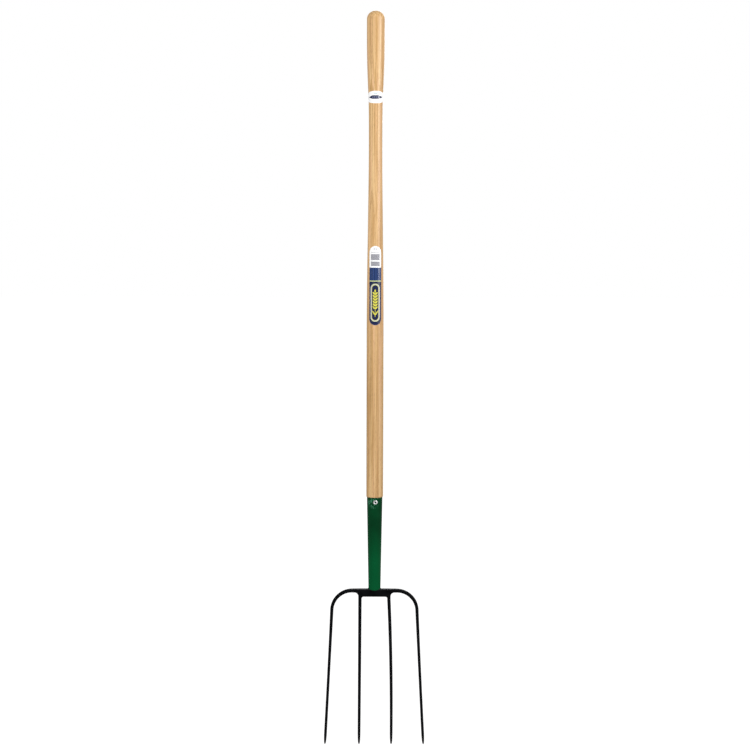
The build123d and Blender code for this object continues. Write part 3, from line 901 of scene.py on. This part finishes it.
def socket_piece():
    """Rolled tube: rounded mouth, seam at the back, dished round the rivet, pinched and arched foot."""
    around = socket_angles()
    rings = socket_rings(around)
    count = len(around)
    faces = []
    for i in range(len(rings)):
        j = (i + 1) % len(rings)
        for k in range(count):
            m = (k + 1) % count
            faces.append((i * count + k, i * count + m, j * count + m, j * count + k))
    mesh = bpy.data.meshes.new("socket_tube")
    mesh.from_pydata([point for ring in rings for point in ring], [], faces)
    piece = add_object("socket_tube", mesh)
    outward(piece)
    return finish_piece(piece, GREEN, "green_paint", "socket")


# ---- rivet
RIVET_SHANK_R = 2.4 * MM
RIVET_HEAD_R, RIVET_HEAD_H = 5.0 * MM, 1.5 * MM
RIVET_HOLLOW_R, RIVET_HOLLOW_DEPTH = 1.6 * MM, 7.0 * MM


def lathe(name, outline, place, turn, segments=48):
    """Turns (radius, height) points round local Z, then turns and moves the result to its place."""
    work = bmesh.new()
    rings = []
    for r, h in outline:
        sides = 1 if r < 1e-7 else segments
        turns = [2 * pi * k / segments for k in range(sides)]
        rings.append([work.verts.new((r * cos(t), r * sin(t), h)) for t in turns])
    for low, high in zip(rings, rings[1:]):
        for k in range(segments):
            m = (k + 1) % segments
            corners = [low[k % len(low)], low[m % len(low)], high[m % len(high)], high[k % len(high)]]
            unique = list(dict.fromkeys(corners))
            if len(unique) > 2:
                work.faces.new(unique)
    bmesh.ops.recalc_face_normals(work, faces=work.faces)
    bmesh.ops.transform(work, matrix=Matrix.Translation(place) @ turn.to_matrix().to_4x4(), verts=work.verts)
    piece = mesh_object(name, work)
    outward(piece)
    return piece


def rivet_outline():
    """(radius, height) points, from the bottom of the hollow over the rolled ring to the back dome."""
    front = RIVET_HIGH[1]
    under = front - RIVET_HEAD_H
    hollow_low = front - RIVET_HOLLOW_DEPTH
    outline = [(0.0, hollow_low), (RIVET_HOLLOW_R - 0.2 * MM, hollow_low)]
    outline.append((RIVET_HOLLOW_R, hollow_low + 0.3 * MM))
    ring_r = (RIVET_HEAD_R - RIVET_HOLLOW_R) / 2
    for step in range(13):
        turn = radians(180.0 - 15.0 * step)
        outline.append((RIVET_HOLLOW_R + ring_r + ring_r * cos(turn), under + RIVET_HEAD_H * sin(turn)))
    skirt = [(RIVET_HEAD_R, under - 0.5 * MM), (RIVET_HEAD_R - 0.3 * MM, under - 0.9 * MM)]
    skirt.append((RIVET_SHANK_R, under - 1.0 * MM))
    outline += skirt
    outline += [(r, -h) for r, h in reversed(skirt)]
    for step in range(1, 6):
        turn = radians(15.0 * step)
        outline.append((RIVET_HEAD_R * cos(turn), -under - RIVET_HEAD_H * sin(turn)))
    outline.append((0.0, -front))
    return outline


def rivet_piece():
    """Tubular rivet: rolled ring in front round its hollow, plain shank, and a low dome at the back."""
    faces_forward = Euler((pi / 2, 0, 0))
    piece = lathe("tubular_rivet", rivet_outline(), Vector((RIVET_X, 0, RIVET_Z)), faces_forward)
    return finish_piece(piece, STEEL, "rivet_steel", "rivet")


# ---- head
ARMPIT_R, CROTCH_R = 8.5 * MM, 4.5 * MM
YOKE_ROUND = 3.0 * MM
YOKE_GRAIN = 0.6 * MM  # size of the cells that the yoke's skin is laid on
TANG_END = (7.0 * MM, 6.0 * MM)
TANG_STEPS = 24


def yoke_outline():
    """Front outline of the yoke, one half mirrored: crossbar, armpits, prong stubs and middle block."""
    top, arm_low = YOKE_TOP_Z, YOKE_TOP_Z - ARM_H
    block_low = YOKE_TOP_Z - BLOCK_H
    outer_x = INNER_ROOT_X + INNER_ROOT_W / 2
    inner_x = INNER_ROOT_X - INNER_ROOT_W / 2
    right = [(0.0, top), (20 * MM, top), (36 * MM, top), (ARM_END_X - 4 * MM, top), (ARM_END_X, top)]
    right += [(ARM_END_X, arm_low)]
    right += arc((outer_x + ARMPIT_R, arm_low - ARMPIT_R), ARMPIT_R, 90, 180, 8)
    right += [(outer_x, STUB_Z), (inner_x, STUB_Z)]
    right += arc((inner_x - CROTCH_R, block_low - CROTCH_R), CROTCH_R, 0, 90, 6)
    right += [(12 * MM, block_low)]
    left = [(-x, z) for x, z in reversed(right[1:])]
    return right + [(0.0, block_low)] + left


def pressed_yoke():
    """The outline pressed to the arms' depth, its edges rounded except where the prongs go on."""
    work = bmesh.new()
    front = work.faces.new([work.verts.new((x, -ARM_DEPTH / 2, z)) for x, z in yoke_outline()])
    grown = bmesh.ops.extrude_face_region(work, geom=[front])
    far = [v for v in grown["geom"] if isinstance(v, bmesh.types.BMVert)]
    bmesh.ops.translate(work, vec=(0, ARM_DEPTH, 0), verts=far)
    bmesh.ops.recalc_face_normals(work, faces=work.faces)
    rims = [e for e in work.edges if abs(e.verts[0].co.y - e.verts[1].co.y) < 1e-6]
    rims = [e for e in rims if not all(abs(abs(v.co.x) - ARM_END_X) < 1e-6 for v in e.verts)]
    rims = [e for e in rims if not all(abs(v.co.z - STUB_Z) < 1e-6 for v in e.verts)]
    bmesh.ops.bevel(
        work, geom=rims, offset=YOKE_ROUND, segments=5, profile=0.5, affect="EDGES", clamp_overlap=True
    )
    return mesh_object("forged_yoke", work)


def hammered(piece):
    """Lays an even skin over the yoke, thickens its middle block and eases the hammered edges."""
    skin = piece.modifiers.new("Remesh", "REMESH")
    skin.mode = "VOXEL"
    skin.voxel_size = YOKE_GRAIN
    skin.use_smooth_shade = True
    piece = flat_copy(piece)
    block_low = YOKE_TOP_Z - BLOCK_H + 2 * MM
    for vert in piece.data.vertices:
        x, y, z = vert.co
        thick = (1 - smooth_step(30 * MM, 45 * MM, abs(x))) * smooth_step(STUB_Z, block_low, z)
        vert.co.y = y * (1 + (BLOCK_DEPTH / ARM_DEPTH - 1) * thick)
    ease = piece.modifiers.new("Smooth", "SMOOTH")
    ease.factor = 0.5
    ease.iterations = 6
    return flat_copy(piece)


def tang():
    """The tang up inside the socket: full in the pinched foot, then slimmer."""
    low, high = YOKE_TOP_Z - 3 * MM, YOKE_HIGH[2]
    full = (FOOT_R - SOCKET_WALL - FIT_GAP, FOOT_HALF_DEPTH - SOCKET_WALL - FIT_GAP)
    stations = []
    for step in range(TANG_STEPS + 1):
        z = low + (high - low) * step / TANG_STEPS
        ease = smooth_step(YOKE_TOP_Z + 8 * MM, high, z)
        half_x, half_y = (a * (1 - ease) + b * ease for a, b in zip(full, TANG_END))
        stations.append(((0, 0, z), half_x, half_y))
    return bar("tang", stations, BLACK, section_points=40)


def joined(name, pieces):
    """Joins pieces into one mesh object."""
    work = bmesh.new()
    for piece in pieces:
        work.from_mesh(piece.data)
        bpy.data.objects.remove(piece)
    return mesh_object(name, work)


def yoke_piece():
    """One forging: the crossbar with its thick middle block, and the tang."""
    piece = joined("forged_yoke", [hammered(pressed_yoke()), tang()])
    return finish_piece(piece, BLACK, "black_paint", "yoke")


# ---- prongs
PRONG_SQUARENESS = 0.72
INNER_TAPER, OUTER_TAPER = (0.9, 1.2), (3.0, 1.3)  # powers of the width's and the depth's taper
INNER_STEPS, BEND_STEPS, OUTER_STEPS = 110, 40, 90
SHOULDER_TURN = 86.0  # degrees, so that the bend runs out into the prong's splay
LEFT, RIGHT = -1, 1
LEFT_LEAN, RIGHT_LEAN = 0.7 * MM, 5.0 * MM  # outward set of the inner tips
LEFT_BOW, RIGHT_BOW = 0.0, 2.4 * MM  # and of the middles of the inner prongs


def rounded_tip(stations):
    """Replaces the last station of a prong by the rings of a half round end."""
    tip, before = Vector(stations[-1][0]), Vector(stations[-2][0])
    ahead = (tip - before).normalized()
    half = stations[-1][1]
    rings = [(tuple(tip - ahead * half), half, half)]
    for step in range(1, 6):
        turn = radians(17.0 * step)
        at = tip - ahead * half + ahead * half * sin(turn)
        rings.append((tuple(at), half * cos(turn), half * cos(turn)))
    return stations[:-1] + rings


def prong_stations(path, root, taper):
    """Half sizes along a prong: root (width, depth) easing to the slim end, then the forged point."""
    lengths = [0.0]
    for a, b in zip(path, path[1:]):
        lengths.append(lengths[-1] + (Vector(b) - Vector(a)).length)
    start = lengths[-1] - POINT_LENGTH
    stations = []
    for place, along in zip(path, lengths):
        left = 1 - min(1.0, along / start)
        width = PRONG_END_W + (root[0] - PRONG_END_W) * left ** taper[0]
        depth = PRONG_END_D + (root[1] - PRONG_END_D) * left ** taper[1]
        if along > start:
            ease = sqrt(max(0.0, 1 - ((along - start) / POINT_LENGTH) ** 2))
            width = POINT_W + (width - POINT_W) * ease
            depth = POINT_W + (depth - POINT_W) * ease
        stations.append((place, width / 2, depth / 2))
    return rounded_tip(stations)


def prong_piece(name, path, root, taper):
    """A forged bar along path that stands for the CAD node of that name."""
    stations = prong_stations(path, root, taper)
    piece = bar(name + "_bar", stations, BLACK, section_points=32, squareness=PRONG_SQUARENESS)
    return finish_piece(piece, BLACK, "black_paint", name)


def inner_prong(name, side, lean, bow):
    """An inner prong, down from its stub under the yoke."""
    path = []
    for step in range(INNER_STEPS + 1):
        u = step / INNER_STEPS
        z = STUB_Z + (TIP_Z - STUB_Z) * u
        x = INNER_ROOT_X + lean * u + bow * 4 * u * (1 - u)
        path.append((side * x, forward(z), z))
    return prong_piece(name, path, (INNER_ROOT_W, ARM_DEPTH), INNER_TAPER)


def outer_prong(name, side):
    """An outer prong, round the shoulder from the end of the yoke's arm."""
    arm_z = YOKE_TOP_Z - ARM_H / 2
    bend_end_z = arm_z - SHOULDER_BEND_R
    outer_x = ARM_END_X + SHOULDER_BEND_R
    splay = (OUTER_TIP_X - outer_x) / (bend_end_z - TIP_Z)
    path = []
    for step in range(BEND_STEPS + 1):
        turn = radians(SHOULDER_TURN) * step / BEND_STEPS
        x = ARM_END_X + SHOULDER_BEND_R * sin(turn)
        z = arm_z - SHOULDER_BEND_R * (1 - cos(turn))
        path.append((side * x, forward(z), z))
    for step in range(2, OUTER_STEPS + 1):
        z = bend_end_z + (TIP_Z - bend_end_z) * step / OUTER_STEPS
        x = outer_x + splay * (bend_end_z - z)
        path.append((side * x, forward(z), z))
    return prong_piece(name, path, (ARM_H, ARM_DEPTH), OUTER_TAPER)


# ---- welds
BEAD_PROUD = 0.1 * MM
BEAD_RIPPLE = 0.13 * MM
BEAD_SIDES = 16
FACE_BEAD_R, FACE_BEAD_SHARE = 1.15 * MM, 0.78
SIDE_BEAD_R, SIDE_BEAD_HALF = 1.25 * MM, 5.2 * MM


def bead_radius(radius, step, u):
    """Radius of a rippled bead that fades at both ends, where u is -1 and 1."""
    fade = max(sqrt(max(0.0, 1 - u**8)), 0.15)
    return (radius + BEAD_RIPPLE * abs(sin(step * pi / 6))) * fade


def face_bead(front, steps=96):
    """A bead across the foot's front (-1) or back (1)."""
    stations = []
    for step in range(steps + 1):
        u = 2 * step / steps - 1
        x = u * FACE_BEAD_SHARE * FOOT_R
        bulge = sqrt(1 - (x / FOOT_R) ** 2)
        y = front * max(FOOT_HALF_DEPTH * bulge + BEAD_PROUD, BLOCK_DEPTH / 2 - 0.2 * MM)
        z = YOKE_TOP_Z - TONGUE * bulge**2 - 0.2 * MM
        r = bead_radius(FACE_BEAD_R, step, u)
        stations.append(((x, y, z), r, r))
    return bar("bead", stations, BLACK, section_points=BEAD_SIDES)


def side_bead(side, steps=60):
    """A bead along Y at the foot's side. The tree can't follow Y, so it is swept along X and turned."""
    stations = []
    for step in range(steps + 1):
        u = 2 * step / steps - 1
        y = u * SIDE_BEAD_HALF
        x = side * (FOOT_R * sqrt(1 - (y / FOOT_HALF_DEPTH) ** 2) + BEAD_PROUD)
        r = bead_radius(SIDE_BEAD_R, step, u)
        stations.append(((y, -x, YOKE_TOP_Z + BEAD_PROUD), r, r))
    piece = bar("bead", stations, BLACK, section_points=BEAD_SIDES)
    piece.data.transform(Matrix(((0, -1, 0, 0), (1, 0, 0, 0), (0, 0, 1, 0), (0, 0, 0, 1))))
    return piece


def weld_piece():
    """Rippled beads round the socket's foot, in front, behind and at both sides."""
    beads = [face_bead(front) for front in (-1, 1)] + [side_bead(side) for side in (-1, 1)]
    return finish_piece(joined("foot_weld_beads", beads), BLACK, "black_paint", "foot_welds")


# ---- labels
END_TURN = 88.0  # degrees round a label's end, a little short of 90 so that every row has a width
LABEL_END_STEPS, LABEL_STRAIGHT_STEPS, OVAL_STEPS = 15, 40, 40


def wrapped_sheet(name, rows, columns):
    """A film on the shaft, from rows of (height, half arc width, print height), kept flat in print_mm."""
    verts, flat = [], []
    for z, half, printed in rows:
        r = shaft_radius(z)
        for c in range(columns + 1):
            s = half * (2 * c / columns - 1)
            angle = s / r
            verts.append(((r + LABEL_FILM) * sin(angle), -(r + LABEL_FILM) * cos(angle), z))
            flat.append((s / MM, printed / MM, 0.0))
    faces = []
    wide = columns + 1
    for i in range(len(rows) - 1):
        for c in range(columns):
            a = i * wide + c
            faces.append((a, a + 1, a + wide + 1, a + wide))
    mesh = bpy.data.meshes.new(name)
    mesh.from_pydata(verts, [], faces)
    places = mesh.attributes.new("print_mm", "FLOAT_VECTOR", "POINT")
    places.data.foreach_set("vector", [number for point in flat for number in point])
    piece = add_object(name, mesh)
    thick = piece.modifiers.new("Film", "SOLIDIFY")
    thick.thickness = LABEL_FILM
    thick.offset = -1.0
    return flat_copy(piece)


def shaft_label_piece():
    """The long label with round ends."""
    low, high = LABEL_LOW[2], LABEL_HIGH[2]
    half = LABEL_ARC_WIDTH / 2
    rows = arc((low + half, 0.0), half, 90 + END_TURN, 90, LABEL_END_STEPS)
    for step in range(1, LABEL_STRAIGHT_STEPS):
        rows.append((low + half + (high - low - 2 * half) * step / LABEL_STRAIGHT_STEPS, half))
    rows += arc((high - half, 0.0), half, 90, 90 - END_TURN, LABEL_END_STEPS)
    rows = [(z, w, z - low) for z, w in rows]
    piece = wrapped_sheet("shaft_label_film", rows, 24)
    return finish_piece(piece, shaft_label_print((high - low) / MM), "printed_label", "shaft_label")


def grip_label_piece():
    """The oval label round the neck under the grip."""
    low, high = OVAL_LOW[2], OVAL_HIGH[2]
    middle, half_h = (low + high) / 2, (high - low) / 2
    rows = []
    for step in range(OVAL_STEPS + 1):
        turn = radians(-END_TURN + 2 * END_TURN * step / OVAL_STEPS)
        rows.append((middle + half_h * sin(turn), OVAL_ARC_WIDTH / 2 * cos(turn), half_h * sin(turn)))
    piece = wrapped_sheet("grip_label_film", rows, 48)
    return finish_piece(piece, grip_label_print(), "printed_label", "grip_label")


# ---- studio
CAMERA_PLACE = (0.0, -3.3, 0.376)
CAMERA_DOWN, CAMERA_ROLL = 4.98, 0.15  # degrees
CAMERA_LENS, CAMERA_SENSOR = 70.27, 36.0
# Soft boxes: name, place, width and height, watts.
SOFT_BOXES = (
    ("key_box", (2.75, -1.75, 1.45), (1.8, 2.4), 117.0),
    ("fill_box", (-2.1, -2.4, 0.75), (1.7, 2.4), 88.0),
    ("back_box", (0.4, 3.0, 1.8), (1.8, 1.8), 64.0),
)
LIT_MIDDLE = Vector((0, 0, 0.1))
ROOM_LIGHT, ROOM_SEEN = 0.28, 1.0
FLOOR_HALF, FLOOR_DROP, FLOOR_GLOW = 30.0, 0.03, 0.99


def camera():
    """Camera square to the fork's front, looking a little down."""
    lens = bpy.data.cameras.new("camera")
    lens.sensor_width = CAMERA_SENSOR
    lens.lens = CAMERA_LENS
    lens.clip_end = 100.0
    eye = add_object("camera", lens)
    eye.location = CAMERA_PLACE
    down = Euler((radians(90.0 - CAMERA_DOWN), 0.0, 0.0)).to_matrix()
    eye.rotation_euler = (down @ Euler((0, 0, radians(CAMERA_ROLL))).to_matrix()).to_euler()
    bpy.context.scene.camera = eye


def soft_boxes():
    """Key, fill and back lights. The fill leaves no mirror image in the paint."""
    for name, place, size, power in SOFT_BOXES:
        light = bpy.data.lights.new(name, "AREA")
        light.shape = "RECTANGLE"
        light.size, light.size_y = size
        light.energy = power
        lamp = add_object(name, light)
        lamp.location = place
        lamp.rotation_euler = (LIT_MIDDLE - Vector(place)).to_track_quat("-Z", "Y").to_euler()
        lamp.visible_glossy = name != "fill_box"


def white_room():
    """A white backdrop that is seen brighter than it lights."""
    world = bpy.data.worlds.new("white_room")
    bpy.context.scene.world = world
    world.use_nodes = True
    tree = world.node_tree
    lit = tree.nodes["Background"]
    seen = tree.nodes.new("ShaderNodeBackground")
    for backdrop, strength in ((lit, ROOM_LIGHT), (seen, ROOM_SEEN)):
        backdrop.inputs["Color"].default_value = (1.0, 1.0, 1.0, 1.0)
        backdrop.inputs["Strength"].default_value = strength
    choose = tree.nodes.new("ShaderNodeMixShader")
    by_camera = tree.nodes.new("ShaderNodeLightPath").outputs["Is Camera Ray"]
    for socket, value in zip(choose.inputs, (by_camera, lit.outputs[0], seen.outputs[0])):
        put(tree, socket, value)
    put(tree, tree.nodes["World Output"].inputs["Surface"], choose.outputs[0])
    bpy.context.scene.view_settings.view_transform = "Standard"


def pale_floor():
    """A plain pale floor under the tips, which doesn't tint the fork."""
    mesh = bpy.data.meshes.new("floor")
    half, z = FLOOR_HALF, TIP_Z - FLOOR_DROP
    corners = [(-half, -half, z), (half, -half, z), (half, half, z), (-half, half, z)]
    mesh.from_pydata(corners, [], [(0, 1, 2, 3)])
    floor = add_object("floor", mesh)
    pale = Finish("pale_floor")
    speck = pale.noise(pale.place, 30.0, 2.0)
    pale.set(Base_Color=pale.mix(speck, (0.10, 0.10, 0.10, 1), (0.12, 0.12, 0.12, 1)), Roughness=0.9)
    pale.set(Emission_Color=(1, 1, 1, 1), Emission_Strength=FLOOR_GLOW, Specular_IOR_Level=0.0)
    mesh.materials.append(pale.material)
    floor.visible_diffuse = False
    floor.visible_glossy = False


shaft_piece()
socket_piece()
rivet_piece()
yoke_piece()
inner_prong("inner_prong_left", LEFT, LEFT_LEAN, LEFT_BOW)
inner_prong("inner_prong_right", RIGHT, RIGHT_LEAN, RIGHT_BOW)
outer_prong("outer_prong_left", LEFT)
outer_prong("outer_prong_right", RIGHT)
weld_piece()
shaft_label_piece()
grip_label_piece()

camera()
soft_boxes()
white_room()
pale_floor()
